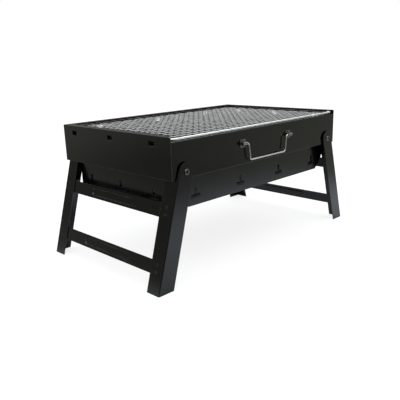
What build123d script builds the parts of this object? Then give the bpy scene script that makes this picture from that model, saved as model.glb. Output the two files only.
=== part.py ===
"""Folding camp grill: a sheet-steel box on two folding leg frames.

Frame: origin on the ground under the middle of the grill, +X along its length, +Y across it
(the front is at -Y), +Z up. All sizes are in millimetres. "end" is -1 for the left end and
+1 for the right end, "face" is -1 for the front and +1 for the back.
"""
import os
from math import cos, radians, sin, sqrt

from build123d import *

os.makedirs("parts", exist_ok=True)

LEFT, RIGHT = -1, 1
FRONT, BACK = -1, 1
ENDS = {"left": LEFT, "right": RIGHT}
FACES = {"front": FRONT, "back": BACK}

# --- Frame: the open box that carries everything -------------------------------------------
FRAME_LENGTH = 430.0
FRAME_WIDTH = 277.0
FRAME_UNDERSIDE = 163.0
TALL_PANEL_HEIGHT = 62.5
FRONT_PANEL_HEIGHT = 55.2
FRAME_SHEET = 1.0
BEND_RADIUS = 0.6
TOP_LIP = 13.0
FRONT_TOP_LIP = 9.0
BOTTOM_LIP = 11.3
CORNER_TAB = 12.0
CORNER_TAB_MARGIN = 4.0

# --- Slots and the tabs bent inwards from them, which hold up the cooking grate --------------
TAB_WIDTH = 13.0
TAB_LENGTH = 7.6
END_TAB_SPACING = 101.0
END_TAB_OFFSET = 4.3
BACK_TAB_SPACING = 140.0

# --- Charcoal tray: hangs through the frame on its rim ----------------------------------------
TRAY_SHEET = 0.8
TRAY_CLEARANCE = 1.0
TRAY_DROP = 48.6
TRAY_RIM_GAP = 3.0
RELIEF_LENGTH = 30.3
RELIEF_RISE = 41.8
RELIEF_RADIUS = 85.0
RELIEF_GAP = 1.5
TRAY_BEVEL = 6.5

# --- Air vents in the tray's walls --------------------------------------------------------------
VENT_ABOVE_FLOOR = 10.8
VENT_WINDOW_WIDTH = 20.0
VENT_WINDOW_HEIGHT = 6.3
VENT_SLOT_WIDTH = 5.2
VENT_SLOT_HEIGHT = 11.0
LOUVRE_LENGTH = 4.3
LOUVRE_TILT = 35.0
SIDE_VENT_PITCH = 105.0
END_VENT_PITCH = 82.0

# --- Charcoal grate: a slotted plate on turned-down edges ---------------------------------------
COAL_END_GAP = 2.0
COAL_SIDE_GAP = 5.4
COAL_GRATE_SHEET = 0.8
COAL_GRATE_HEIGHT = 8.0
COAL_SLOT_LENGTH = 24.0
COAL_SLOT_WIDTH = 4.0
COAL_SLOT_COLUMNS = 10
COAL_SLOT_ROWS = 17

# --- Cooking grate: square wire mesh in a rod border ---------------------------------------------
GRATE_GAP = 0.3
GRATE_WIRE = 1.6
GRATE_ROD = 3.2
GRATE_WELD = 0.05
GRATE_SIDE_GAP = 1.2
GRATE_CORNER_RADIUS = 8.0
GRATE_COLUMNS = 31
GRATE_ROWS = 20

# --- Leg frames -----------------------------------------------------------------------------------
LEG_SPLAY = 15.9
LEG_SHEET = 1.2
LEG_SIDE_FLANGE = 28.3
LEG_END_FLANGE = 27.2
LEG_BEND_RADIUS = 1.8
PIVOT_INSET = 25.4
PIVOT_RISE = 10.5
PIVOT_STANDOFF = 2.4
PIVOT_PLAY = 0.1
PIVOT_RADIUS = 3.0
PIVOT_CLEARANCE = 0.06
PIVOT_HEAD_RADIUS = 4.6
PIVOT_HEAD_HEIGHT = 1.6
PIVOT_EYE_RADIUS = 2.2
PIVOT_EYE_DEPTH = 1.2
PIVOT_TAIL_RADIUS = 5.0
PIVOT_TAIL_HEIGHT = 1.2
SPACER_RADIUS = 6.5

# --- Crossbars of the leg frames ------------------------------------------------------------------
BAR_HEIGHT = 21.0
BAR_END_GAP = 4.0
UPPER_BAR_DROP = 50.5
LOWER_BAR_DROP = 134.5
GROOVE_LENGTH = 120.0
GROOVE_HEIGHT = 12.0
GROOVE_DEPTH = 1.6
GROOVE_WALL = 0.9
GROOVE_SLOPE = 35.0
LEG_RIVET_RADIUS = 1.6
LEG_RIVET_HEAD_RADIUS = 2.4
LEG_RIVET_HEAD_HEIGHT = 0.5
LEG_RIVET_SPACING = 11.0

# --- Carrying handles -------------------------------------------------------------------------------
HANDLE_WIRE = 2.4
HANDLE_TOP_HALF = 51.5
HANDLE_BOTTOM_HALF = 47.0
HANDLE_DROP = 28.0
HANDLE_HEIGHT = 34.0
HANDLE_OVERHANG = 0.8
HANDLE_BEND_RADIUS = 4.0
HANDLE_LEG_GAP = 0.4
HANDLE_CLEARANCE = 0.1
EYE_WALL = 1.2
EYE_WIDTH = 10.0
EYE_GAP = 0.6
STRAP_SHEET = 1.2
STRAP_WIDTH = 12.6
STRAP_HEIGHT = 13.4
STRAP_CORNER_RADIUS = 1.5
STRAP_RIVET_RISE = 4.7
STRAP_RIVET_RADIUS = 0.9
STRAP_RIVET_HEAD_RADIUS = 1.5
STRAP_RIVET_HEAD_HEIGHT = 0.9
STRAP_RIVET_TAIL_HEIGHT = 0.6

# --- Places worked out from the sizes above ---------------------------------------------------------
FRAME_TOP = FRAME_UNDERSIDE + TALL_PANEL_HEIGHT
FRONT_TOP = FRAME_UNDERSIDE + FRONT_PANEL_HEIGHT
LIP_TOP = FRAME_UNDERSIDE + FRAME_SHEET
INNER_LENGTH = FRAME_LENGTH - 2 * FRAME_SHEET
INNER_WIDTH = FRAME_WIDTH - 2 * FRAME_SHEET
OPENING_LENGTH = FRAME_LENGTH - 2 * BOTTOM_LIP
OPENING_WIDTH = FRAME_WIDTH - 2 * BOTTOM_LIP

PIVOT_X = FRAME_LENGTH / 2 - PIVOT_INSET
PIVOT_Z = FRAME_UNDERSIDE + PIVOT_RISE
LEG_HALF = LEG_SIDE_FLANGE / 2
LEG_INNER_Y = FRAME_WIDTH / 2 + PIVOT_STANDOFF + PIVOT_PLAY
LEG_OUTER_Y = LEG_INNER_Y + LEG_SHEET
END_FLANGE_INNER_Y = LEG_OUTER_Y - LEG_END_FLANGE
BAR_LENGTH = 2 * (LEG_INNER_Y - BAR_END_GAP)
LEG_RIVET_Y = (END_FLANGE_INNER_Y + LEG_INNER_Y) / 2

TRAY_LENGTH = OPENING_LENGTH - 2 * TRAY_CLEARANCE
TRAY_WIDTH = OPENING_WIDTH - 2 * TRAY_CLEARANCE
TRAY_BOTTOM = FRAME_UNDERSIDE - TRAY_DROP
TRAY_TOP = LIP_TOP + TRAY_SHEET
TRAY_FLOOR_TOP = TRAY_BOTTOM + TRAY_SHEET
TRAY_INNER_BEVEL = TRAY_BEVEL - (2 - sqrt(2)) * TRAY_SHEET
RIM_LENGTH = INNER_LENGTH - 2 * TRAY_RIM_GAP
RIM_WIDTH = INNER_WIDTH - 2 * TRAY_RIM_GAP
RELIEF_Y = END_FLANGE_INNER_Y - RELIEF_GAP
RELIEF_X = TRAY_LENGTH / 2 - RELIEF_LENGTH
COAL_GRATE_LENGTH = 2 * (RELIEF_X - TRAY_SHEET - COAL_END_GAP)
COAL_GRATE_WIDTH = TRAY_WIDTH - 2 * (TRAY_SHEET + COAL_SIDE_GAP)

GRATE_BOTTOM = FRONT_TOP + GRATE_GAP
CROSS_WIRE_Z = GRATE_BOTTOM + GRATE_WIRE / 2
LONG_WIRE_Z = CROSS_WIRE_Z + GRATE_WIRE - GRATE_WELD
ROD_Z = GRATE_BOTTOM + GRATE_WIRE - 2 * GRATE_WELD + GRATE_ROD / 2
GRATE_HALF_X = INNER_LENGTH / 2 - FRAME_SHEET - GRATE_SIDE_GAP - GRATE_ROD / 2
GRATE_FRONT_Y = -INNER_WIDTH / 2 + GRATE_ROD / 2 - GRATE_WELD
GRATE_BACK_Y = INNER_WIDTH / 2 - GRATE_SIDE_GAP - GRATE_ROD / 2
LONG_WIRE_LENGTH = 2 * (GRATE_HALF_X - GRATE_ROD / 2 + GRATE_WELD)

HANDLE_Z = FRAME_UNDERSIDE + HANDLE_HEIGHT
HANDLE_Y = LEG_OUTER_Y + HANDLE_LEG_GAP + HANDLE_WIRE / 2
EYE_BORE = HANDLE_WIRE / 2 + HANDLE_CLEARANCE
EYE_START = HANDLE_TOP_HALF + HANDLE_BEND_RADIUS + EYE_GAP
EYE_END = EYE_START + EYE_WIDTH
STRAP_X = (EYE_START + EYE_END) / 2
STRAP_RIVET_PLACES = [
    (end * STRAP_X, HANDLE_Z + side * STRAP_RIVET_RISE)
    for end in ENDS.values()
    for side in (-1, 1)
]


def save(part: BuildPart, name: str) -> None:
    """Label a finished piece and write it as one STEP file."""
    part.part.label = name
    export_step(part.part, f"parts/{name}.step")


def face_plane(face: int, distance: float) -> Plane:
    """Upright plane across Y at `distance` from the middle, facing outwards; local y is up."""
    return Plane(origin=(0, face * distance, 0), x_dir=(-face, 0, 0), z_dir=(0, face, 0))


def end_plane(end: int, distance: float) -> Plane:
    """Upright plane across X at `distance` from the middle, facing outwards; local y is up."""
    return Plane(origin=(end * distance, 0, 0), x_dir=(0, end, 0), z_dir=(end, 0, 0))


def level_plane(height: float) -> Plane:
    """Level plane at a height above the ground."""
    return Plane.XY.offset(height)


# ====================================================================================================
# Frame
# ====================================================================================================
def grate_tab(wall: Plane, offset: float) -> None:
    """Cut a slot through a panel and bend its metal inwards into a tab under the grate."""
    with BuildSketch(wall) as slot:
        with Locations((offset, FRONT_TOP - FRAME_SHEET - TAB_LENGTH / 2)):
            Rectangle(TAB_WIDTH, TAB_LENGTH)
    extrude(slot.sketch, amount=-FRAME_SHEET, mode=Mode.SUBTRACT)
    with BuildSketch(wall) as tab:
        with Locations((offset, FRONT_TOP - FRAME_SHEET / 2)):
            Rectangle(TAB_WIDTH, FRAME_SHEET)
    extrude(tab.sketch, amount=-(FRAME_SHEET + TAB_LENGTH))


def side_panel(face: int, height: float, top_lip: float, tab_offsets: list[float]) -> BuildPart:
    """Long wall of the frame, with a lip along each edge and a tab inside each end panel."""
    wall = face_plane(face, FRAME_WIDTH / 2)
    middle = FRAME_UNDERSIDE + height / 2
    with BuildPart() as panel:
        with BuildSketch(wall):
            with Locations((0, middle)):
                Rectangle(INNER_LENGTH, height)
        extrude(amount=-FRAME_SHEET)
        with BuildSketch(wall):
            with Locations((0, FRAME_UNDERSIDE + FRAME_SHEET / 2)):
                Rectangle(INNER_LENGTH, FRAME_SHEET)
        extrude(amount=-BOTTOM_LIP)
        with BuildSketch(wall):
            with Locations((0, FRAME_UNDERSIDE + height - FRAME_SHEET / 2)):
                Rectangle(INNER_LENGTH, FRAME_SHEET)
        extrude(amount=-top_lip)
        outer_bends = panel.edges().filter_by(Axis.X).group_by(Axis.Y)[0 if face == FRONT else -1]
        fillet(outer_bends, BEND_RADIUS)
        with BuildSketch(wall.offset(-FRAME_SHEET)):
            with GridLocations(INNER_LENGTH - FRAME_SHEET, 0, 2, 1):
                with Locations((0, middle)):
                    Rectangle(FRAME_SHEET, height - 2 * CORNER_TAB_MARGIN)
        extrude(amount=-CORNER_TAB)
        with BuildSketch(wall):
            with Locations((-PIVOT_X, PIVOT_Z), (PIVOT_X, PIVOT_Z)):
                Circle(PIVOT_RADIUS)
            with Locations(*STRAP_RIVET_PLACES):
                Circle(STRAP_RIVET_RADIUS)
        extrude(amount=-FRAME_SHEET, mode=Mode.SUBTRACT)
        for offset in tab_offsets:
            grate_tab(wall, offset)
    return panel


def end_panel(end: int) -> BuildPart:
    """Short wall of the frame, which covers the ends of both side panels."""
    wall = end_plane(end, FRAME_LENGTH / 2)
    with BuildPart() as panel:
        with BuildSketch(wall):
            with Locations((0, FRAME_UNDERSIDE + TALL_PANEL_HEIGHT / 2)):
                Rectangle(FRAME_WIDTH, TALL_PANEL_HEIGHT)
        extrude(amount=-FRAME_SHEET)
        with BuildSketch(wall):
            with Locations((0, FRAME_UNDERSIDE + FRAME_SHEET / 2)):
                Rectangle(OPENING_WIDTH, FRAME_SHEET)
        extrude(amount=-BOTTOM_LIP)
        with BuildSketch(wall):
            with Locations((0, FRAME_TOP - FRAME_SHEET / 2)):
                Rectangle(FRAME_WIDTH - 2 * TOP_LIP, FRAME_SHEET)
        extrude(amount=-TOP_LIP)
        outer_bends = panel.edges().filter_by(Axis.Y).group_by(Axis.X)[0 if end == LEFT else -1]
        fillet(outer_bends, BEND_RADIUS)
        for column in (-1, 0, 1):
            grate_tab(wall, end * END_TAB_OFFSET + column * END_TAB_SPACING)
    return panel


def make_frame() -> None:
    """Four panels of the frame."""
    front = side_panel(FRONT, FRONT_PANEL_HEIGHT, FRONT_TOP_LIP, [])
    save(front, "frame_front_panel")
    back = side_panel(BACK, TALL_PANEL_HEIGHT, TOP_LIP, [-BACK_TAB_SPACING, 0, BACK_TAB_SPACING])
    save(back, "frame_back_panel")
    for name, end in ENDS.items():
        save(end_panel(end), f"frame_{name}_end_panel")


# ====================================================================================================
# Pivots of the leg frames
# ====================================================================================================
def pivot_planes(distance: float) -> list[Plane]:
    """The four pivots' planes, facing outwards, `distance` from the middle of the frame."""
    return [
        Plane(origin=(end * PIVOT_X, face * distance, PIVOT_Z), x_dir=(1, 0, 0), z_dir=(0, face, 0))
        for end in ENDS.values()
        for face in FACES.values()
    ]


def make_pivots() -> None:
    """Hollow rivets that the leg frames turn on, and the spacers behind the legs."""
    shank = LEG_OUTER_Y + PIVOT_PLAY - INNER_WIDTH / 2
    with BuildPart() as rivets:
        for plane in pivot_planes(INNER_WIDTH / 2):
            with BuildSketch(plane):
                Circle(PIVOT_RADIUS)
            extrude(amount=shank)
            with BuildSketch(plane):
                Circle(PIVOT_TAIL_RADIUS)
            extrude(amount=-PIVOT_TAIL_HEIGHT)
            with BuildSketch(plane.offset(shank)):
                Circle(PIVOT_HEAD_RADIUS)
            extrude(amount=PIVOT_HEAD_HEIGHT)
            with BuildSketch(plane.offset(shank + PIVOT_HEAD_HEIGHT)):
                Circle(PIVOT_EYE_RADIUS)
            extrude(amount=-PIVOT_EYE_DEPTH, mode=Mode.SUBTRACT)
        rims = rivets.edges().filter_by(GeomType.CIRCLE).group_by(SortBy.RADIUS)
        head_rims = [
            edge
            for group in rims
            for edge in group
            if abs(edge.radius - PIVOT_HEAD_RADIUS) < PIVOT_CLEARANCE
            and abs(edge.arc_center.Y) > LEG_OUTER_Y + PIVOT_HEAD_HEIGHT
        ]
        fillet(head_rims, PIVOT_HEAD_HEIGHT / 2)
    save(rivets, "pivot_rivets")

    with BuildPart() as spacers:
        for plane in pivot_planes(FRAME_WIDTH / 2):
            with BuildSketch(plane):
                Circle(SPACER_RADIUS)
                Circle(PIVOT_RADIUS, mode=Mode.SUBTRACT)
            extrude(amount=PIVOT_STANDOFF)
    save(spacers, "pivot_spacers")


# ====================================================================================================
# Charcoal tray
# ====================================================================================================
def tray_block(inset: float, bottom: float, bevel: float) -> Part:
    """Solid of the tray's plan up to its rim, with the two bottom end edges bevelled."""
    with BuildPart() as block:
        with BuildSketch(level_plane(bottom)):
            Rectangle(TRAY_LENGTH - 2 * inset, TRAY_WIDTH - 2 * inset)
        extrude(amount=TRAY_TOP - bottom)
        chamfer(block.edges().filter_by(Axis.Y).group_by(Axis.Z)[0], bevel)
    return block.part


def corner_reliefs(wall: float) -> Part:
    """Space that the end flanges sweep at the tray's four corners, grown by `wall`."""
    start_x = RELIEF_X - wall
    end_x = TRAY_LENGTH / 2
    depth = TRAY_WIDTH / 2 - RELIEF_Y + wall
    with BuildPart() as reliefs:
        for end in ENDS.values():
            with BuildSketch(Plane.XZ.offset(RELIEF_Y - wall)) as profile:
                with BuildLine():
                    curve = RadiusArc(
                        (start_x, TRAY_BOTTOM),
                        (end_x, TRAY_BOTTOM + RELIEF_RISE + 2 * wall),
                        -RELIEF_RADIUS,
                    )
                    Polyline(curve @ 1, (end_x, TRAY_BOTTOM), curve @ 0)
                make_face()
                if end == LEFT:
                    mirror(about=Plane.YZ, mode=Mode.REPLACE)
            extrude(profile.sketch, amount=depth)
        mirror(about=Plane.XZ)
    return reliefs.part


def tray_shell() -> Part:
    """The tray before it is cut into plates: floor, walls and rim."""
    with BuildPart() as inside:
        add(tray_block(TRAY_SHEET, TRAY_FLOOR_TOP, TRAY_INNER_BEVEL))
        add(corner_reliefs(TRAY_SHEET), mode=Mode.SUBTRACT)
    with BuildPart() as shell:
        add(tray_block(0, TRAY_BOTTOM, TRAY_BEVEL))
        with BuildSketch(level_plane(LIP_TOP)):
            Rectangle(RIM_LENGTH, RIM_WIDTH)
        extrude(amount=TRAY_SHEET)
        add(inside.part, mode=Mode.SUBTRACT)
        add(corner_reliefs(0), mode=Mode.SUBTRACT)
    return shell.part


def vent(wall: Plane, offset: float) -> None:
    """Air vent: a slot over a window, with a louvre bent inwards from the window's top."""
    window_bottom = TRAY_BOTTOM + VENT_ABOVE_FLOOR
    window_top = window_bottom + VENT_WINDOW_HEIGHT
    with BuildSketch(wall) as opening:
        with Locations((offset, (window_bottom + window_top) / 2)):
            Rectangle(VENT_WINDOW_WIDTH, VENT_WINDOW_HEIGHT)
        with Locations((offset, window_top + VENT_SLOT_HEIGHT / 2)):
            Rectangle(VENT_SLOT_WIDTH, VENT_SLOT_HEIGHT)
    extrude(opening.sketch, amount=-TRAY_SHEET, mode=Mode.SUBTRACT)
    hinge = wall.location * Location((offset, window_top, 0), (LOUVRE_TILT, 0, 0))
    with BuildSketch(Plane(hinge)) as louvre:
        with Locations((0, -LOUVRE_LENGTH / 2)):
            Rectangle(VENT_WINDOW_WIDTH, LOUVRE_LENGTH)
    extrude(louvre.sketch, amount=-TRAY_SHEET)


def tray_side(shell: Part, face: int) -> BuildPart:
    """Long wall of the tray with its share of the rim and the returns into the reliefs."""
    depth = RIM_WIDTH / 2 - RELIEF_Y
    with BuildPart() as side:
        add(shell)
        with BuildSketch(level_plane(TRAY_FLOOR_TOP)):
            with Locations((0, face * (RELIEF_Y + depth / 2))):
                Rectangle(RIM_LENGTH, depth)
        extrude(amount=TRAY_TOP - TRAY_FLOOR_TOP, mode=Mode.INTERSECT)
        for column in (-1.5, -0.5, 0.5, 1.5):
            vent(face_plane(face, TRAY_WIDTH / 2), column * SIDE_VENT_PITCH)
    return side


def tray_end(shell: Part, end: int) -> BuildPart:
    """Short wall of the tray with its bevel, its share of the rim and its side returns."""
    with BuildPart() as wall:
        add(shell)
        with BuildSketch(level_plane(TRAY_FLOOR_TOP)):
            with Locations((end * RIM_LENGTH / 4, 0)):
                Rectangle(RIM_LENGTH / 2, 2 * RELIEF_Y)
        extrude(amount=TRAY_TOP - TRAY_FLOOR_TOP, mode=Mode.INTERSECT)
        for column in (-1, 0, 1):
            vent(end_plane(end, TRAY_LENGTH / 2), column * END_VENT_PITCH)
    return wall


def make_tray() -> None:
    """Tray plates: floor, two sides with vents and two ends with vents."""
    shell = tray_shell()
    with BuildPart() as floor:
        add(shell)
        with BuildSketch(level_plane(TRAY_BOTTOM)):
            Rectangle(TRAY_LENGTH, TRAY_WIDTH)
        extrude(amount=TRAY_SHEET, mode=Mode.INTERSECT)
    save(floor, "tray_floor")
    for name, face in FACES.items():
        save(tray_side(shell, face), f"tray_{name}_side")
    for name, end in ENDS.items():
        save(tray_end(shell, end), f"tray_{name}_end")


def make_charcoal_grate() -> None:
    """Slotted plate that keeps the charcoal off the tray's floor."""
    skirt = COAL_GRATE_HEIGHT - COAL_GRATE_SHEET
    pitch_x = COAL_GRATE_LENGTH / (COAL_SLOT_COLUMNS + 1)
    pitch_y = COAL_GRATE_WIDTH / (COAL_SLOT_ROWS + 1)
    with BuildPart() as grate:
        with BuildSketch(level_plane(TRAY_FLOOR_TOP)):
            Rectangle(COAL_GRATE_LENGTH, COAL_GRATE_WIDTH)
        extrude(amount=COAL_GRATE_HEIGHT)
        with BuildSketch(level_plane(TRAY_FLOOR_TOP)):
            Rectangle(
                COAL_GRATE_LENGTH - 2 * COAL_GRATE_SHEET, COAL_GRATE_WIDTH - 2 * COAL_GRATE_SHEET
            )
        extrude(amount=skirt, mode=Mode.SUBTRACT)
        with BuildSketch(level_plane(TRAY_FLOOR_TOP + skirt)):
            with GridLocations(pitch_x, pitch_y, COAL_SLOT_COLUMNS, COAL_SLOT_ROWS):
                SlotOverall(COAL_SLOT_LENGTH, COAL_SLOT_WIDTH)
        extrude(amount=COAL_GRATE_SHEET, mode=Mode.SUBTRACT)
    save(grate, "charcoal_grate")


# ====================================================================================================
# Cooking grate
# ====================================================================================================
def make_cooking_grate() -> None:
    """Rod border with long wires resting on cross wires, welded into a square mesh."""
    depth = GRATE_BACK_Y - GRATE_FRONT_Y
    middle_y = (GRATE_BACK_Y + GRATE_FRONT_Y) / 2
    column_pitch = 2 * GRATE_HALF_X / GRATE_COLUMNS
    row_pitch = depth / GRATE_ROWS
    with BuildPart() as border:
        with BuildLine(level_plane(ROD_Z)) as path:
            FilletPolyline(
                (GRATE_HALF_X, GRATE_FRONT_Y),
                (GRATE_HALF_X, GRATE_BACK_Y),
                (-GRATE_HALF_X, GRATE_BACK_Y),
                (-GRATE_HALF_X, GRATE_FRONT_Y),
                radius=GRATE_CORNER_RADIUS,
                close=True,
            )
        with BuildSketch(Plane(origin=path.line @ 0, z_dir=path.line % 0)):
            Circle(GRATE_ROD / 2)
        sweep()
    save(border, "grate_border_rod")

    with BuildPart() as long_wires:
        with BuildSketch(Plane.YZ.offset(-LONG_WIRE_LENGTH / 2)):
            with Locations((middle_y, LONG_WIRE_Z)):
                with GridLocations(row_pitch, 0, GRATE_ROWS - 1, 1):
                    Circle(GRATE_WIRE / 2)
        extrude(amount=LONG_WIRE_LENGTH)
    save(long_wires, "grate_long_wires")

    with BuildPart() as cross_wires:
        with BuildSketch(Plane.XZ.offset(-GRATE_BACK_Y)):
            with Locations((0, CROSS_WIRE_Z)):
                with GridLocations(column_pitch, 0, GRATE_COLUMNS - 1, 1):
                    Circle(GRATE_WIRE / 2)
        extrude(amount=depth)
    save(cross_wires, "grate_cross_wires")


# ====================================================================================================
# Leg frames
# ====================================================================================================
def down_leg(end: int, across: float, along: float) -> tuple[float, float]:
    """X and Z of a place `along` the leg below its pivot and `across` outwards of it."""
    splay = radians(LEG_SPLAY)
    x = PIVOT_X + across * cos(splay) + along * sin(splay)
    z = PIVOT_Z + across * sin(splay) - along * cos(splay)
    return end * x, z


def to_ground(across: float) -> float:
    """Distance along the leg from its pivot to the ground."""
    splay = radians(LEG_SPLAY)
    return (PIVOT_Z + across * sin(splay)) / cos(splay)


def flange_plane(end: int, across: float) -> Plane:
    """Plane of the end flanges, facing outwards; local x is across the grill, y is up the leg."""
    splay = radians(LEG_SPLAY)
    x, z = down_leg(end, across, 0)
    return Plane(origin=(x, 0, z), x_dir=(0, end, 0), z_dir=(end * cos(splay), 0, sin(splay)))


def section_plane(end: int) -> Plane:
    """Plane square to the leg above its rounded top; local x is outwards along the grill."""
    splay = radians(LEG_SPLAY)
    x, z = down_leg(end, 0, -LEG_HALF)
    return Plane(
        origin=(x, 0, z),
        x_dir=(end * cos(splay), 0, sin(splay)),
        z_dir=(end * sin(splay), 0, -cos(splay)),
    )


def bar_rivet_places() -> list[tuple[float, float]]:
    """Centres of the rivets that join both crossbars to the end flanges."""
    return [
        (side * LEG_RIVET_Y, -(drop + BAR_HEIGHT / 2 + step * LEG_RIVET_SPACING / 2))
        for side in (-1, 1)
        for drop in (UPPER_BAR_DROP, LOWER_BAR_DROP)
        for step in (-1, 1)
    ]


def leg(end: int, face: int) -> BuildPart:
    """Angle leg: a side flange with a round top about the pivot, and an end flange."""
    side = -end * face
    with BuildPart() as angle:
        with BuildSketch(section_plane(end)) as section:
            with BuildLine():
                Polyline(
                    (LEG_HALF, side * END_FLANGE_INNER_Y),
                    (LEG_HALF, side * LEG_OUTER_Y),
                    (-LEG_HALF, side * LEG_OUTER_Y),
                    (-LEG_HALF, side * LEG_INNER_Y),
                    (LEG_HALF - LEG_SHEET, side * LEG_INNER_Y),
                    (LEG_HALF - LEG_SHEET, side * END_FLANGE_INNER_Y),
                    close=True,
                )
            make_face()
            bend = section.vertices().sort_by(lambda v: v.X + side * v.Y)[-1]
            fillet(bend, LEG_BEND_RADIUS)
        extrude(amount=LEG_HALF + to_ground(LEG_HALF))
        with BuildSketch(Plane.XZ):
            with BuildLine():
                ThreePointArc(
                    down_leg(end, -LEG_HALF, 0),
                    down_leg(end, 0, -LEG_HALF),
                    down_leg(end, LEG_HALF, 0),
                )
                Polyline(
                    down_leg(end, LEG_HALF, 0),
                    down_leg(end, LEG_HALF, to_ground(LEG_HALF)),
                    down_leg(end, -LEG_HALF, to_ground(-LEG_HALF)),
                    down_leg(end, -LEG_HALF, 0),
                )
            make_face()
        extrude(amount=LEG_OUTER_Y, both=True, mode=Mode.INTERSECT)
        with BuildSketch(level_plane(FRAME_UNDERSIDE)):
            Rectangle(2 * (PIVOT_X + LEG_SIDE_FLANGE), 2 * LEG_INNER_Y)
        extrude(amount=LEG_SIDE_FLANGE + PIVOT_RISE, mode=Mode.SUBTRACT)
        with BuildSketch(face_plane(face, LEG_OUTER_Y)):
            with Locations((-face * end * PIVOT_X, PIVOT_Z)):
                Circle(PIVOT_RADIUS + PIVOT_CLEARANCE)
        extrude(amount=-LEG_SHEET, mode=Mode.SUBTRACT)
        with BuildSketch(flange_plane(end, LEG_HALF)):
            with Locations(*bar_rivet_places()):
                Circle(LEG_RIVET_RADIUS)
        extrude(amount=-LEG_SHEET, mode=Mode.SUBTRACT)
    return angle


def crossbar(end: int, drop: float) -> BuildPart:
    """Flat bar behind the end flanges, with a long groove pressed inwards."""
    outer_face = flange_plane(end, LEG_HALF - LEG_SHEET)
    middle = -(drop + BAR_HEIGHT / 2)
    with BuildPart() as bar:
        with BuildSketch(outer_face):
            with Locations((0, middle)):
                Rectangle(BAR_LENGTH, BAR_HEIGHT)
        extrude(amount=-LEG_SHEET)
        with BuildSketch(outer_face):
            with Locations((0, middle)):
                SlotOverall(GROOVE_LENGTH + 2 * GROOVE_WALL, GROOVE_HEIGHT + 2 * GROOVE_WALL)
        extrude(amount=-(LEG_SHEET + GROOVE_DEPTH), taper=GROOVE_SLOPE)
        with BuildSketch(outer_face):
            with Locations((0, middle)):
                SlotOverall(GROOVE_LENGTH, GROOVE_HEIGHT)
        extrude(amount=-GROOVE_DEPTH, taper=GROOVE_SLOPE, mode=Mode.SUBTRACT)
        with BuildSketch(outer_face):
            with Locations(*bar_rivet_places()):
                Circle(LEG_RIVET_RADIUS)
        extrude(amount=-LEG_SHEET, mode=Mode.SUBTRACT)
    return bar


def leg_rivets(end: int) -> BuildPart:
    """Rivets through the end flanges and the crossbars, flush on the inside."""
    outer_face = flange_plane(end, LEG_HALF)
    with BuildPart() as rivets:
        with BuildSketch(outer_face):
            with Locations(*bar_rivet_places()):
                Circle(LEG_RIVET_RADIUS)
        extrude(amount=-2 * LEG_SHEET)
        with BuildSketch(outer_face):
            with Locations(*bar_rivet_places()):
                Circle(LEG_RIVET_HEAD_RADIUS)
        extrude(amount=LEG_RIVET_HEAD_HEIGHT)
    return rivets


def make_leg_frames() -> None:
    """Two leg frames, each of two angle legs, two crossbars and their rivets."""
    for end_name, end in ENDS.items():
        for face_name, face in FACES.items():
            save(leg(end, face), f"{end_name}_{face_name}_leg")
        save(crossbar(end, UPPER_BAR_DROP), f"{end_name}_upper_crossbar")
        save(crossbar(end, LOWER_BAR_DROP), f"{end_name}_lower_crossbar")
        save(leg_rivets(end), f"{end_name}_leg_rivets")


# ====================================================================================================
# Carrying handles
# ====================================================================================================
def handle_wire(face: int) -> BuildPart:
    """Bent wire handle, hanging from its two outward-turned ends."""
    end_x = EYE_END + HANDLE_OVERHANG
    bottom = HANDLE_Z - HANDLE_DROP
    with BuildPart() as handle:
        with BuildLine(face_plane(face, HANDLE_Y)) as path:
            FilletPolyline(
                (-end_x, HANDLE_Z),
                (-HANDLE_TOP_HALF, HANDLE_Z),
                (-HANDLE_BOTTOM_HALF, bottom),
                (HANDLE_BOTTOM_HALF, bottom),
                (HANDLE_TOP_HALF, HANDLE_Z),
                (end_x, HANDLE_Z),
                radius=HANDLE_BEND_RADIUS,
            )
        with BuildSketch(Plane(origin=path.line @ 0, z_dir=path.line % 0)):
            Circle(HANDLE_WIRE / 2)
        sweep()
    return handle


def handle_straps(face: int) -> BuildPart:
    """Two straps on the frame, each bent out over one end of the handle."""
    panel_face = face_plane(face, FRAME_WIDTH / 2)
    eye_radius = EYE_BORE + EYE_WALL
    web = HANDLE_Y - FRAME_WIDTH / 2
    with BuildPart() as straps:
        for end in ENDS.values():
            with BuildSketch(panel_face):
                with Locations((end * STRAP_X, HANDLE_Z)):
                    RectangleRounded(STRAP_WIDTH, STRAP_HEIGHT, STRAP_CORNER_RADIUS)
            extrude(amount=STRAP_SHEET)
            with BuildSketch(end_plane(end, EYE_START)):
                with Locations((end * face * (FRAME_WIDTH / 2 + web / 2), HANDLE_Z)):
                    Rectangle(web, 2 * eye_radius)
                with Locations((end * face * HANDLE_Y, HANDLE_Z)):
                    Circle(eye_radius)
                    Circle(EYE_BORE, mode=Mode.SUBTRACT)
            extrude(amount=EYE_WIDTH)
        with BuildSketch(panel_face):
            with Locations(*STRAP_RIVET_PLACES):
                Circle(STRAP_RIVET_RADIUS)
        extrude(amount=STRAP_SHEET, mode=Mode.SUBTRACT)
    return straps


def strap_rivets() -> BuildPart:
    """Rivets that hold the four straps on the frame."""
    shank = FRAME_SHEET + STRAP_SHEET
    with BuildPart() as rivets:
        for face in FACES.values():
            inner_face = face_plane(face, INNER_WIDTH / 2)
            with BuildSketch(inner_face):
                with Locations(*STRAP_RIVET_PLACES):
                    Circle(STRAP_RIVET_RADIUS)
            extrude(amount=shank)
            with BuildSketch(inner_face):
                with Locations(*STRAP_RIVET_PLACES):
                    Circle(STRAP_RIVET_HEAD_RADIUS)
            extrude(amount=-STRAP_RIVET_TAIL_HEIGHT)
            with BuildSketch(inner_face.offset(shank)):
                with Locations(*STRAP_RIVET_PLACES):
                    Circle(STRAP_RIVET_HEAD_RADIUS)
            extrude(amount=STRAP_RIVET_HEAD_HEIGHT)
    return rivets


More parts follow.
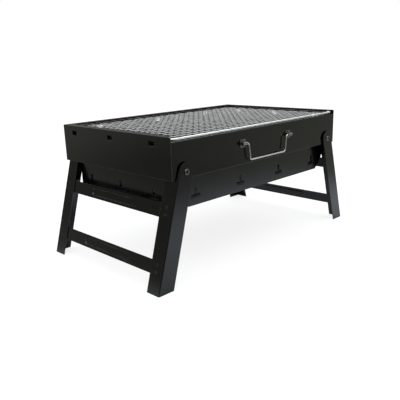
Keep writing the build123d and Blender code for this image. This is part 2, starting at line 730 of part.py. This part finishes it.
def make_handles() -> None:
    """Front and back handles, their straps and the straps' rivets."""
    for name, face in FACES.items():
        save(handle_wire(face), f"{name}_handle_wire")
        save(handle_straps(face), f"{name}_handle_straps")
    save(strap_rivets(), "strap_rivets")


make_frame()
make_pivots()
make_tray()
make_charcoal_grate()
make_cooking_grate()
make_leg_frames()
make_handles()
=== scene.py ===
"""Looks of the folding camp grill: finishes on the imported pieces, the woven grate and a white studio.

Everything is in metres and in the part's own frame: +X along the grill, +Y from front to back, +Z up.
"""

import logging
from dataclasses import dataclass, field
from enum import Enum
from math import cos, pi, radians, sin
from typing import Any, Protocol, Union

import bpy
from mathutils import Matrix, Vector


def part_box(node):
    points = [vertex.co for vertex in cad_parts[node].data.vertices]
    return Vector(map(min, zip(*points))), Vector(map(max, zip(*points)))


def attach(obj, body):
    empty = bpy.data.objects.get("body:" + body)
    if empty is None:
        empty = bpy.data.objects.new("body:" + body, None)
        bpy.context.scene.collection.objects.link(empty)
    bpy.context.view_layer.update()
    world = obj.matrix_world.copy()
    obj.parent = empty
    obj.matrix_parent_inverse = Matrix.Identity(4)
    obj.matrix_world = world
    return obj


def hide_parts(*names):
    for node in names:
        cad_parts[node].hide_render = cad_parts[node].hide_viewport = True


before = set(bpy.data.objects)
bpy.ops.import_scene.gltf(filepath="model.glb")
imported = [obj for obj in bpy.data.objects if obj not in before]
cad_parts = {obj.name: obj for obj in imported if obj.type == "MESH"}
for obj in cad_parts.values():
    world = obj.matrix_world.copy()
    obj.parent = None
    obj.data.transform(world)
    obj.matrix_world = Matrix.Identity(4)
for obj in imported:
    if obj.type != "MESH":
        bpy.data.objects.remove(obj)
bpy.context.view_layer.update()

LOG = logging.getLogger("grill")
MM = 0.001

# Features along one metre in the noises of the finishes
PAINT_CLOUDS, PAINT_SMEARS, PAINT_SCUFFS = 9.0, 26.0, 60.0
PAINT_WAVES, PAINT_PEEL = 14.0, 1100.0
METAL_CLOUDS, METAL_SPECKS, METAL_GRAIN = 45.0, 700.0, 1500.0

Colour = tuple[float, float, float]
Value = Union["Signal", float, int, tuple]


# ----------------------------------------------------------------------------------------------
# Node graphs written as expressions
# ----------------------------------------------------------------------------------------------
class Signal:
    """One output socket of a node, with arithmetic that adds Math nodes."""

    def __init__(self, graph: "Graph", socket: bpy.types.NodeSocket) -> None:
        """Wrap a socket of a graph."""
        self.graph = graph
        self.socket = socket

    def _math(self, operation: str, *values: Value) -> "Signal":
        """Add a Math node of one operation on the given values."""
        return self.graph.add("ShaderNodeMath", {"operation": operation}, dict(enumerate(values)))

    def __add__(self, other: Value) -> "Signal":
        """Sum."""
        return self._math("ADD", self, other)

    def __radd__(self, other: Value) -> "Signal":
        """Sum, reflected."""
        return self._math("ADD", other, self)

    def __sub__(self, other: Value) -> "Signal":
        """Difference."""
        return self._math("SUBTRACT", self, other)

    def __rsub__(self, other: Value) -> "Signal":
        """Difference, reflected."""
        return self._math("SUBTRACT", other, self)

    def __mul__(self, other: Value) -> "Signal":
        """Product."""
        return self._math("MULTIPLY", self, other)

    def __rmul__(self, other: Value) -> "Signal":
        """Product, reflected."""
        return self._math("MULTIPLY", other, self)

    def __truediv__(self, other: Value) -> "Signal":
        """Quotient."""
        return self._math("DIVIDE", self, other)

    def __abs__(self) -> "Signal":
        """Absolute value."""
        return self._math("ABSOLUTE", self)

    def __pow__(self, power: Value) -> "Signal":
        """Power."""
        return self._math("POWER", self, power)

    def cosine(self) -> "Signal":
        """Cosine of an angle in radians."""
        return self._math("COSINE", self)

    def at_most(self, other: Value) -> "Signal":
        """The lower of two values."""
        return self._math("MINIMUM", self, other)

    def at_least(self, other: Value) -> "Signal":
        """The higher of two values."""
        return self._math("MAXIMUM", self, other)

    def ramp(self, start: float, end: float) -> "Signal":
        """Smooth step.

        Args:
            start: Value that gives 0.
            end: Value that gives 1.

        Returns:
            The eased and clamped share of the way from start to end.
        """
        settings = {"interpolation_type": "SMOOTHSTEP"}
        values = {"Value": self, "From Min": start, "From Max": end}
        return self.graph.add("ShaderNodeMapRange", settings, values)


class Graph:
    """A node tree that nodes are added to by type, settings and socket values."""

    def __init__(self, tree: bpy.types.NodeTree) -> None:
        """Wrap a tree and empty it."""
        self.tree = tree
        tree.nodes.clear()

    def node(self, kind: str, settings: dict[str, Any], values: dict[Any, Value]) -> bpy.types.Node:
        """Add a node.

        Args:
            kind: Blender's name of the node type.
            settings: Attributes of the node, which are set first.
            values: Socket name or number to a value or a Signal to link.

        Returns:
            The new node.
        """
        node = self.tree.nodes.new(kind)
        for name, value in settings.items():
            setattr(node, name, value)
        for key, value in values.items():
            if isinstance(value, Signal):
                self.tree.links.new(value.socket, node.inputs[key])
            else:
                node.inputs[key].default_value = value
        return node

    def add(
        self,
        kind: str,
        settings: dict[str, Any] | None = None,
        values: dict[Any, Value] | None = None,
        output: int | str = 0,
    ) -> Signal:
        """Add a node and return one of its outputs.

        Args:
            kind: Blender's name of the node type.
            settings: Attributes of the node.
            values: Socket name or number to a value or a Signal.
            output: Name or number of the output that is wanted.

        Returns:
            That output as a Signal.
        """
        return Signal(self, self.node(kind, settings or {}, values or {}).outputs[output])

    def blend(self, factor: Value, first: Value, second: Value) -> Signal:
        """Mix two colours.

        Args:
            factor: Share of the second colour.
            first: Colour at factor 0, with alpha.
            second: Colour at factor 1, with alpha.

        Returns:
            The mixed colour.
        """
        settings = {"data_type": "RGBA", "clamp_factor": True}
        return self.add("ShaderNodeMix", settings, {0: factor, 6: first, 7: second}, 2)

    def noise(self, place: Signal, per_metre: float, detail: float = 3.0, rough: float = 0.5) -> Signal:
        """Noise between 0 and 1.

        Args:
            place: Coordinates in metres.
            per_metre: Features along one metre.
            detail: Octaves of finer noise.
            rough: Strength of the finer octaves.

        Returns:
            The noise value.
        """
        values = {"Vector": place, "Scale": per_metre, "Detail": detail, "Roughness": rough}
        return self.add("ShaderNodeTexNoise", {}, values)

    def place(self) -> Signal:
        """Object coordinates in metres."""
        return self.add("ShaderNodeTexCoord", output="Object")

    def axes(self, vector: Signal) -> tuple[Signal, Signal, Signal]:
        """The three components of a vector."""
        node = self.node("ShaderNodeSeparateXYZ", {}, {0: vector})
        x, y, z = (Signal(self, output) for output in node.outputs)
        return x, y, z

    def stretch(self, vector: Signal, scale: Colour) -> Signal:
        """Vector multiplied by a scale along each axis."""
        return self.add("ShaderNodeVectorMath", {"operation": "MULTIPLY"}, {0: vector, 1: scale})

    def dot(self, first: Signal, second: Signal) -> Signal:
        """Dot product of two vectors."""
        return self.add("ShaderNodeVectorMath", {"operation": "DOT_PRODUCT"}, {0: first, 1: second}, 1)

    def bump(self, height: Signal, depth: float, below: Value | None = None) -> Signal:
        """Normal disturbed by a height between 0 and 1.

        Args:
            height: Height pattern.
            depth: Real height of the pattern in metres.
            below: Normal to disturb, when bumps are stacked.

        Returns:
            The new normal.
        """
        values: dict[Any, Value] = {"Height": height, "Distance": depth, "Strength": 1.0}
        if below is not None:
            values["Normal"] = below
        return self.add("ShaderNodeBump", {}, values)


def rgba(colour: Colour) -> tuple[float, float, float, float]:
    """Colour with full alpha."""
    return (*colour, 1.0)


# ----------------------------------------------------------------------------------------------
# Finishes
# ----------------------------------------------------------------------------------------------
class Finish(Protocol):
    """Anything that can make a material."""

    def material(self) -> bpy.types.Material:
        """Build the material."""


def new_material(name: str) -> tuple[bpy.types.Material, Graph]:
    """Make an empty node material.

    Args:
        name: Name of the material.

    Returns:
        The material and the graph of its nodes.
    """
    material = bpy.data.materials.new(name)
    material.use_nodes = True
    return material, Graph(material.node_tree)


def close(graph: Graph, shader: Signal) -> None:
    """Link a shader to the output of its material."""
    graph.node("ShaderNodeOutputMaterial", {}, {"Surface": shader})


@dataclass(frozen=True)
class BlackPaint:
    """Semi-gloss black paint on sheet steel, with orange peel, handling marks and a painted highlight
    along edges and bends.

    With a centre given, the faces that look towards it are the inside of a box and get a near-black,
    less reflective coat as painted shade. So does all that lies within the hollow box, given as the
    half sizes across it and its bottom.
    """

    name: str
    base: Colour = (0.0010, 0.0010, 0.0008)
    worn: Colour = (0.006, 0.006, 0.005)
    roughness: float = 0.14
    marks: float = 0.04
    peel_depth: float = 0.0012 * MM
    wave_depth: float = 0.06 * MM
    edge_radius: float = 0.5 * MM
    edge_highlight_colour: Colour = (0.11, 0.11, 0.105)
    inside_centre: Colour | None = None
    hollow: Colour | None = None
    inside_colour: Colour = (0.002, 0.002, 0.002)
    inside_stain: Colour = (0.007, 0.006, 0.005)

    def edge_mask(self, graph: Graph) -> Signal:
        """Mask of the sheet's edges and bends, where a lighter colour is painted as a highlight."""
        rounded = graph.add("ShaderNodeBevel", {"samples": 6}, {"Radius": self.edge_radius})
        straight = graph.add("ShaderNodeNewGeometry", output="Normal")
        return (1 - graph.dot(rounded, straight)).ramp(0.004, 0.16)

    def inside_shade_mask(self, graph: Graph, place: Signal) -> Signal:
        """Mask of the faces that look towards the centre, where painted shade goes."""
        settings = {"operation": "SUBTRACT"}
        outward = graph.add("ShaderNodeVectorMath", settings, {0: place, 1: self.inside_centre})
        normal = graph.add("ShaderNodeNewGeometry", output="Normal")
        inner = (graph.dot(outward, normal) * -1.0).ramp(0.0, 4 * MM)
        if self.hollow is None:
            return inner
        x, y, z = graph.axes(place)
        half_x, half_y, bottom = self.hollow
        depth = (half_x - abs(x)).at_most(half_y - abs(y)).at_most(z - bottom)
        return inner.at_least(depth.ramp(0.0, 0.3 * MM))

    def material(self) -> bpy.types.Material:
        """Build the material."""
        material, graph = new_material(self.name)
        place = graph.place()
        clouds = graph.noise(place, PAINT_CLOUDS, 4.0, 0.6)
        smears = graph.noise(graph.stretch(place, (1.0, 1.0, 3.5)), PAINT_SMEARS, 5.0, 0.65)
        scuffs = graph.noise(graph.stretch(place, (14.0, 14.0, 1.0)), PAINT_SCUFFS, 2.0)
        handled = (clouds * 0.6 + smears * 0.4).ramp(0.42, 0.66)
        # Painted highlight: edges and bends get a lighter colour in place of the light they catch.
        edge_highlight = self.edge_mask(graph) * (0.45 + 0.55 * smears.ramp(0.35, 0.6))
        colour = graph.blend(handled * 0.35, rgba(self.base), rgba(self.worn))
        colour = graph.blend(edge_highlight, colour, rgba(self.edge_highlight_colour))
        roughness = self.roughness + self.marks * handled + 0.05 * scuffs.ramp(0.55, 0.8)
        wave = graph.bump(graph.noise(place, PAINT_WAVES, 1.0), self.wave_depth)
        peel = graph.bump(graph.noise(place, PAINT_PEEL, 1.5), self.peel_depth, wave)
        values = {"Base Color": colour, "Roughness": roughness, "Normal": peel, "IOR": 1.5}
        shader = graph.add("ShaderNodeBsdfPrincipled", {}, values)
        # Painted shade: faces inside the box get a near-black, less reflective coat in place of the
        # shade that falls there.
        if self.inside_centre is not None:
            inside_shade_colour = graph.blend(handled, rgba(self.inside_colour), rgba(self.inside_stain))
            values = {"Base Color": inside_shade_colour, "Roughness": 0.5 + 0.2 * handled, "IOR": 1.2}
            dull = graph.add("ShaderNodeBsdfPrincipled", {}, values)
            mask = self.inside_shade_mask(graph, place)
            shader = graph.add("ShaderNodeMixShader", {}, {0: mask, 1: shader, 2: dull})
        close(graph, shader)
        return material


@dataclass(frozen=True)
class BrightMetal:
    """Plated or chromed steel with fine drawing marks, stains and dull spots."""

    name: str
    base: Colour
    stain: Colour
    roughness: float
    grain: Colour = (1.0, 1.0, 1.0)
    stain_share: float = 0.4
    grain_depth: float = 0.004 * MM

    def sockets(self, graph: Graph, place: Signal) -> dict[str, Value]:
        """Values of the shader's sockets.

        Args:
            graph: The material's graph.
            place: Coordinates in metres.

        Returns:
            Socket name to value or link.
        """
        clouds = graph.noise(place, METAL_CLOUDS, 5.0, 0.65)
        specks = graph.noise(place, METAL_SPECKS, 3.0, 0.6)
        stained = clouds.ramp(0.45, 0.72) * self.stain_share + specks.ramp(0.62, 0.8) * 0.3
        drawn = graph.noise(graph.stretch(place, self.grain), METAL_GRAIN, 2.0)
        colour = graph.blend(stained, rgba(self.base), rgba(self.stain))
        roughness = self.roughness + 0.18 * stained + 0.06 * drawn
        normal = graph.bump(drawn, self.grain_depth)
        return {"Base Color": colour, "Metallic": 1.0, "Roughness": roughness, "Normal": normal}

    def material(self) -> bpy.types.Material:
        """Build the material."""
        material, graph = new_material(self.name)
        close(graph, graph.add("ShaderNodeBsdfPrincipled", {}, self.sockets(graph, graph.place())))
        return material


@dataclass(frozen=True)
class EyeRivet:
    """Bright rivet head whose open eye in its middle is painted near-black as shade."""

    name: str
    bright: BrightMetal
    pivot: tuple[float, float]
    eye_radius: float
    eye_shade_colour: Colour = (0.01, 0.01, 0.01)
    rim_share: tuple[float, float] = (0.92, 1.06)

    def material(self) -> bpy.types.Material:
        """Build the material."""
        material, graph = new_material(self.name)
        place = graph.place()
        values = self.bright.sockets(graph, place)
        x, _, z = graph.axes(place)
        across = abs(x) - self.pivot[0]
        up = z - self.pivot[1]
        distance = (across * across + up * up) ** 0.5
        inner, outer = self.rim_share
        ring = distance.ramp(self.eye_radius * inner, self.eye_radius * outer)
        # Painted shade: the eye inside the ring is near-black and not metallic.
        values["Base Color"] = graph.blend(ring, rgba(self.eye_shade_colour), values["Base Color"])
        values["Metallic"] = ring
        close(graph, graph.add("ShaderNodeBsdfPrincipled", {}, values))
        return material


class Wire(Enum):
    """The two sets of wires of the cooking grate."""

    LONG = "grate_long_wires"
    CROSS = "grate_cross_wires"


# ----------------------------------------------------------------------------------------------
# Sub-assemblies
# ----------------------------------------------------------------------------------------------
def dress(nodes: list[str], finish: Finish) -> None:
    """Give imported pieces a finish.

    Args:
        nodes: Names of the pieces.
        finish: The finish that they all get.
    """
    material = finish.material()
    for name in nodes:
        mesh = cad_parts[name].data
        mesh.materials.clear()
        mesh.materials.append(material)
        LOG.info("%s: %s, %d faces", name, material.name, len(mesh.polygons))


@dataclass
class FrameBox:
    """Four panels of the box with their rivets and spacers."""

    # The panels' inner faces get the painted shade coat.
    paint: BlackPaint = BlackPaint("frame_paint", inside_centre=(0.0, 0.0, 0.18))
    rivet_steel: BrightMetal = BrightMetal("rivet_steel", (0.22, 0.22, 0.21), (0.05, 0.05, 0.05), 0.16)
    eye_share: float = 0.44
    panels: tuple[str, ...] = (
        "frame_front_panel",
        "frame_back_panel",
        "frame_left_end_panel",
        "frame_right_end_panel",
        "pivot_spacers",
    )

    def build(self) -> None:
        """Dress the panels and the pivots."""
        dress(list(self.panels), self.paint)
        low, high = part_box("pivot_rivets")
        head_radius = (high.z - low.z) / 2
        pivot = (high.x - head_radius, (high.z + low.z) / 2)
        finish = EyeRivet("pivot_steel", self.rivet_steel, pivot, self.eye_share * head_radius)
        dress(["pivot_rivets"], finish)


@dataclass
class CharcoalTray:
    """Tray plates and the slotted charcoal grate in it."""

    # Painted shade on the tray's inner faces and on all within its hollow, and a fainter painted edge
    # highlight.
    paint: BlackPaint = BlackPaint(
        "tray_paint",
        roughness=0.19,
        wave_depth=0.1 * MM,
        edge_highlight_colour=(0.04, 0.04, 0.038),
        inside_centre=(0.0, 0.0, 0.16),
        hollow=(0.2018, 0.1253, 0.1156),
    )
    # Painted shade: the charcoal grate's upward faces get the near-black, less reflective coat.
    plate: BlackPaint = BlackPaint(
        "charcoal_grate_paint", roughness=0.5, marks=0.2, inside_centre=(0.0, 0.0, 0.3)
    )
    plates: tuple[str, ...] = (
        "tray_floor",
        "tray_front_side",
        "tray_back_side",
        "tray_left_end",
        "tray_right_end",
    )

    def build(self) -> None:
        """Dress the tray and its grate."""
        dress(list(self.plates), self.paint)
        dress(["charcoal_grate"], self.plate)


@dataclass
class CookingGrate:
    """Rod border with a woven mesh of crimped wires."""

    body: str = "cooking_grate"
    long_count: int = 19
    cross_count: int = 30
    steps_per_cell: int = 6
    wire_sides: int = 6
    crimp_share: float = 0.5
    thickness_share: float = 0.8
    free_end: float = 0.35
    rod: BrightMetal = BrightMetal(
        "grate_rod_chrome", (0.96, 0.96, 0.95), (0.6, 0.6, 0.58), 0.3, stain_share=0.1
    )
    wire: BrightMetal = BrightMetal("grate_wire_chrome", (0.56, 0.57, 0.56), (0.26, 0.26, 0.25), 0.14)

    def wire_tree(self) -> bpy.types.NodeTree:
        """Geometry node tree of one set of parallel crimped wires."""
        tree = bpy.data.node_groups.new("crimped_wires", "GeometryNodeTree")
        graph = Graph(tree)
        floats = ("Length", "Spacing", "Cell", "Crimp", "Level", "Radius", "Turn", "Phase")
        for name in ("Wires", "Steps", "Sides"):
            tree.interface.new_socket(name, in_out="INPUT", socket_type="NodeSocketInt")
        for name in floats:
            tree.interface.new_socket(name, in_out="INPUT", socket_type="NodeSocketFloat")
        tree.interface.new_socket("Middle", in_out="INPUT", socket_type="NodeSocketVector")
        tree.interface.new_socket("Finish", in_out="INPUT", socket_type="NodeSocketMaterial")
        tree.interface.new_socket("Mesh", in_out="OUTPUT", socket_type="NodeSocketGeometry")
        given = graph.node("NodeGroupInput", {}, {})
        value = {socket.name: Signal(graph, socket) for socket in given.outputs if socket.name}

        start = graph.add("ShaderNodeCombineXYZ", {}, {0: value["Length"] * -0.5})
        end = graph.add("ShaderNodeCombineXYZ", {}, {0: value["Length"] * 0.5})
        line = graph.add("GeometryNodeCurvePrimitiveLine", {}, {"Start": start, "End": end})
        line = graph.add("GeometryNodeResampleCurve", {}, {"Curve": line, "Count": value["Steps"]})
        copied = {"Geometry": line, "Amount": value["Wires"]}
        copies = graph.node("GeometryNodeDuplicateElements", {"domain": "SPLINE"}, copied)
        number = Signal(graph, copies.outputs["Duplicate Index"])
        along, _, _ = graph.axes(graph.add("GeometryNodeInputPosition"))
        side = (number - (value["Wires"] - 1) * 0.5) * value["Spacing"]
        wave = ((along / value["Cell"] + number + value["Phase"]) * pi).cosine()
        from_end = (value["Length"] * 0.5 - abs(along)) / value["Cell"] - self.free_end
        free = from_end.at_least(0.0).at_most(1.0)
        height = value["Crimp"] * wave * free + value["Level"] * (1 - free)
        shift = graph.add("ShaderNodeCombineXYZ", {}, {1: side, 2: height})
        moved = {"Geometry": Signal(graph, copies.outputs[0]), "Offset": shift}
        bent = graph.add("GeometryNodeSetPosition", {}, moved)
        circle = {"Resolution": value["Sides"], "Radius": value["Radius"]}
        profile = graph.add("GeometryNodeCurvePrimitiveCircle", {}, circle)
        swept = {"Curve": bent, "Profile Curve": profile, "Fill Caps": True}
        wires = graph.add("GeometryNodeCurveToMesh", {}, swept)
        turn = graph.add("ShaderNodeCombineXYZ", {}, {2: value["Turn"]})
        turned = {"Geometry": wires, "Translation": value["Middle"], "Rotation": turn}
        placed = graph.add("GeometryNodeTransform", {}, turned)
        smooth = graph.add("GeometryNodeSetShadeSmooth", {}, {"Geometry": placed})
        whole = graph.add("GeometryNodeRealizeInstances", {}, {"Geometry": smooth})
        finished = {"Geometry": whole, "Material": value["Finish"]}
        dressed = graph.add("GeometryNodeSetMaterial", {}, finished)
        graph.node("NodeGroupOutput", {}, {0: dressed})
        return tree

    def weave(
        self, wire: Wire, tree: bpy.types.NodeTree, material: bpy.types.Material
    ) -> bpy.types.Object:
        """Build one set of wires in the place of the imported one.

        Args:
            wire: Which set of wires.
            tree: The geometry node tree of crimped wires.
            material: The wires' finish.

        Returns:
            The finished mesh object.
        """
        low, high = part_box(wire.value)
        long_low, long_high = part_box(Wire.LONG.value)
        cross_low, cross_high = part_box(Wire.CROSS.value)
        radius = (high.z - low.z) / 2
        long_spacing = (long_high.y - long_low.y - 2 * radius) / (self.long_count - 1)
        cross_spacing = (cross_high.x - cross_low.x - 2 * radius) / (self.cross_count - 1)
        crimp = self.crimp_share * (long_low.z - cross_low.z) / 2
        is_long = wire is Wire.LONG
        cell = cross_spacing if is_long else long_spacing
        length = long_high.x - long_low.x if is_long else cross_high.y - cross_low.y
        crossings = self.cross_count if is_long else self.long_count
        values = {
            "Wires": self.long_count if is_long else self.cross_count,
            "Steps": round(length / cell) * self.steps_per_cell + 1,
            "Sides": self.wire_sides,
            "Length": length,
            "Spacing": long_spacing if is_long else cross_spacing,
            "Cell": cell,
            "Crimp": crimp,
            "Level": crimp if is_long else -crimp,
            "Radius": radius * self.thickness_share,
            "Turn": 0.0 if is_long else radians(90.0),
            "Phase": (crossings - 1) / 2 + (0 if is_long else 1),
            "Middle": (0.0, (low.y + high.y) / 2, (cross_low.z + long_high.z) / 2),
            "Finish": material,
        }
        name = f"woven_{wire.value}"
        piece = bpy.data.objects.new(name, bpy.data.meshes.new(name))
        bpy.context.scene.collection.objects.link(piece)
        modifier = piece.modifiers.new("wires", "NODES")
        modifier.node_group = tree
        for item in tree.interface.items_tree:
            if item.in_out == "INPUT":
                modifier[item.identifier] = values[item.name]
        bpy.context.view_layer.update()
        graph = bpy.context.evaluated_depsgraph_get()
        mesh = bpy.data.meshes.new_from_object(piece.evaluated_get(graph), depsgraph=graph)
        piece.modifiers.remove(modifier)
        piece.data = mesh
        LOG.info("%s: %d faces", name, len(mesh.polygons))
        return piece

    def build(self) -> None:
        """Dress the border and put woven wires in place of the straight ones."""
        dress(["grate_border_rod"], self.rod)
        tree = self.wire_tree()
        material = self.wire.material()
        for wire in Wire:
            piece = self.weave(wire, tree, material)
            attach(piece, self.body)
            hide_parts(wire.value)


@dataclass
class LegFrames:
    """The two folding leg frames."""

    paint: BlackPaint = BlackPaint("leg_paint", roughness=0.16)
    rivet_paint: BlackPaint = BlackPaint("leg_rivet_paint", roughness=0.3, marks=0.2)
    pieces: tuple[str, ...] = ("front_leg", "back_leg", "upper_crossbar", "lower_crossbar")

    def build(self) -> None:
        """Dress the legs, the crossbars and their rivets."""
        ends = ("left", "right")
        dress([f"{end}_{piece}" for end in ends for piece in self.pieces], self.paint)
        dress([f"{end}_leg_rivets" for end in ends], self.rivet_paint)


@dataclass
class Handles:
    """Wire handles on both long sides, with their straps."""

    wire: BrightMetal = BrightMetal("handle_nickel", (0.70, 0.68, 0.63), (0.3, 0.28, 0.25), 0.2)
    strap: BrightMetal = BrightMetal(
        "strap_zinc", (0.26, 0.26, 0.25), (0.08, 0.08, 0.08), 0.3, grain=(3.0, 1.0, 1.0)
    )

    def build(self) -> None:
        """Dress the handles, the straps and their rivets."""
        dress(["front_handle_wire", "back_handle_wire"], self.wire)
        dress(["front_handle_straps", "back_handle_straps", "strap_rivets"], self.strap)


# ----------------------------------------------------------------------------------------------
# Studio
# ----------------------------------------------------------------------------------------------
@dataclass
class Studio:
    """White table, soft light and the camera.

    The table is plain white to the eye. In reflections and bounce light it carries a painted pool of
    light, bright near the grill and darker far off, and painted shade in front of the grill and to its
    left, on the camera's side.
    """

    camera_place: Colour = (-0.6808, -0.6601, 0.3284)
    camera_yaw: float = 44.92
    camera_pitch: float = -15.45
    camera_roll: float = -1.77
    camera_lens: float = 45.87
    # Colours of the table in reflections and bounce: a painted pool of light and painted shade.
    near_floor: Colour = (0.88, 0.94, 1.0)
    far_floor: Colour = (0.29, 0.30, 0.25)
    floor_shade_colour: Colour = (0.09, 0.09, 0.08)
    bright_centre: tuple[float, float] = (0.12, -0.08)
    bright_radius: float = 0.24
    dim_radius: float = 0.66
    horizon: Colour = (0.17, 0.17, 0.15)
    zenith: Colour = (1.38, 1.40, 1.43)
    corner_arc: tuple[float, float] = (0.80, 0.98)
    corner_reach: tuple[float, float] = (0.3, 0.5)
    beside_share: float = 0.75
    before_share: float = 0.6
    seen_floor: Colour = (0.26, 0.26, 0.26)
    seen_glow: float = 0.82
    sky_ramp: tuple[float, float] = (0.15, 0.75)
    aim: Colour = (0.0, 0.0, 0.12)
    floor_size: float = 6.0
    lamps: list[tuple[str, Colour, float, float]] = field(
        default_factory=lambda: [
            ("key_softbox", (-0.7, -0.5, 1.5), 1.2, 2.0),
            ("fill_softbox", (0.9, -0.9, 1.3), 1.2, 1.0),
            ("rim_softbox", (0.3, 1.2, 1.2), 1.0, 1.0),
        ]
    )

    def place_camera(self) -> None:
        """Put the camera where the grill is seen over its front left corner."""
        yaw, pitch, roll = (radians(a) for a in (self.camera_yaw, self.camera_pitch, self.camera_roll))
        forward = Vector((cos(pitch) * sin(yaw), cos(pitch) * cos(yaw), sin(pitch)))
        right = Vector((cos(yaw), -sin(yaw), 0.0))
        up = right.cross(forward)
        level_right = right * cos(roll) + up * sin(roll)
        level_up = up * cos(roll) - right * sin(roll)
        turn = Matrix((level_right, level_up, -forward)).transposed().to_4x4()
        data = bpy.data.cameras.new("camera")
        data.lens = self.camera_lens
        data.sensor_width = 36.0
        data.clip_start = 0.01
        camera = bpy.data.objects.new("camera", data)
        camera.matrix_world = Matrix.Translation(Vector(self.camera_place)) @ turn
        bpy.context.scene.collection.objects.link(camera)
        bpy.context.scene.camera = camera

    def floor_material(self) -> bpy.types.Material:
        """Table top that is seen plain white with soft shadows; in reflections it has a painted pool of
        light that falls off, and painted shade.
        """
        material, graph = new_material("table_top")
        path = graph.node("ShaderNodeLightPath", {}, {})
        seen = Signal(graph, path.outputs["Is Camera Ray"])
        x, y, _ = graph.axes(graph.place())
        across, along = x - self.bright_centre[0], y - self.bright_centre[1]
        # Painted pool of light: the colour falls from near_floor to far_floor away from the bright
        # centre.
        away = ((across * across + along * along) ** 0.5).ramp(self.bright_radius, self.dim_radius)
        colour = graph.blend(away, rgba(self.near_floor), rgba(self.far_floor))
        # Painted shade: patches of floor_shade_colour on the camera's side, in front of the grill and
        # to its left.
        distance = (x * x + y * y) ** 0.5
        diagonal = (x + y) * -(0.5**0.5) / distance.at_least(10 * MM)
        corner = diagonal.ramp(*self.corner_arc) * distance.ramp(*self.corner_reach)
        beside = (x * -1.0).ramp(0.35, 0.7) * (1 - y.ramp(0.5, 1.5))
        before = (y * -1.0).ramp(0.3, 0.6) * (1 - x.ramp(0.1, 0.8))
        floor_shade = corner.at_least(beside * self.beside_share).at_least(before * self.before_share)
        colour = graph.blend(floor_shade, colour, rgba(self.floor_shade_colour))
        lit = graph.add("ShaderNodeBsdfDiffuse", {}, {"Color": colour})
        shaded = graph.add("ShaderNodeBsdfDiffuse", {}, {"Color": rgba(self.seen_floor)})
        plain = {"Color": rgba((1.0, 1.0, 1.0)), "Strength": self.seen_glow}
        glow = graph.add("ShaderNodeEmission", {}, plain)
        white = graph.add("ShaderNodeAddShader", {}, {0: shaded, 1: glow})
        both = graph.add("ShaderNodeMixShader", {}, {0: seen, 1: lit, 2: white})
        graph.node("ShaderNodeOutputMaterial", {}, {"Surface": both})
        return material

    def place_floor(self) -> None:
        """Lay the table top under the feet."""
        half = self.floor_size / 2
        mesh = bpy.data.meshes.new("table_top")
        corners = [(-half, -half, 0.0), (half, -half, 0.0), (half, half, 0.0), (-half, half, 0.0)]
        mesh.from_pydata(corners, [], [(0, 1, 2, 3)])
        mesh.materials.append(self.floor_material())
        floor = bpy.data.objects.new("table_top", mesh)
        bpy.context.scene.collection.objects.link(floor)

    def light_world(self) -> None:
        """Light the scene from a studio that is dim at eye level and bright overhead."""
        world = bpy.data.worlds.new("studio")
        world.use_nodes = True
        bpy.context.scene.world = world
        graph = Graph(world.node_tree)
        _, _, height = graph.axes(graph.add("ShaderNodeTexCoord", output="Generated"))
        colour = graph.blend(height.ramp(*self.sky_ramp), rgba(self.horizon), rgba(self.zenith))
        room = graph.add("ShaderNodeBackground", {}, {"Color": colour, "Strength": 1.0})
        plain = graph.add("ShaderNodeBackground", {}, {"Color": rgba((1.0, 1.0, 1.0)), "Strength": 1.0})
        path = graph.node("ShaderNodeLightPath", {}, {})
        seen = Signal(graph, path.outputs["Is Camera Ray"])
        both = graph.add("ShaderNodeMixShader", {}, {0: seen, 1: room, 2: plain})
        graph.node("ShaderNodeOutputWorld", {}, {"Surface": both})

    def place_lamps(self) -> None:
        """Hang the softboxes round the grill, each turned to its middle."""
        for name, place, size, watts in self.lamps:
            data = bpy.data.lights.new(name, "AREA")
            data.shape = "SQUARE"
            data.size = size
            data.energy = watts
            lamp = bpy.data.objects.new(name, data)
            spot = Vector(place)
            turn = (Vector(self.aim) - spot).to_track_quat("-Z", "Y").to_matrix().to_4x4()
            lamp.matrix_world = Matrix.Translation(spot) @ turn
            bpy.context.scene.collection.objects.link(lamp)

    def build(self) -> None:
        """Set up the floor, the light and the camera."""
        bpy.context.scene.view_settings.view_transform = "Standard"
        self.place_floor()
        self.light_world()
        self.place_lamps()
        self.place_camera()
        LOG.info("studio: %d lamps", len(self.lamps))


def main() -> None:
    """Build every sub-assembly in order."""
    logging.basicConfig(level=logging.INFO, format="%(name)s: %(message)s")
    for assembly in (Studio(), FrameBox(), CharcoalTray(), CookingGrate(), LegFrames(), Handles()):
        assembly.build()


if __name__ == "__main__":
    main()
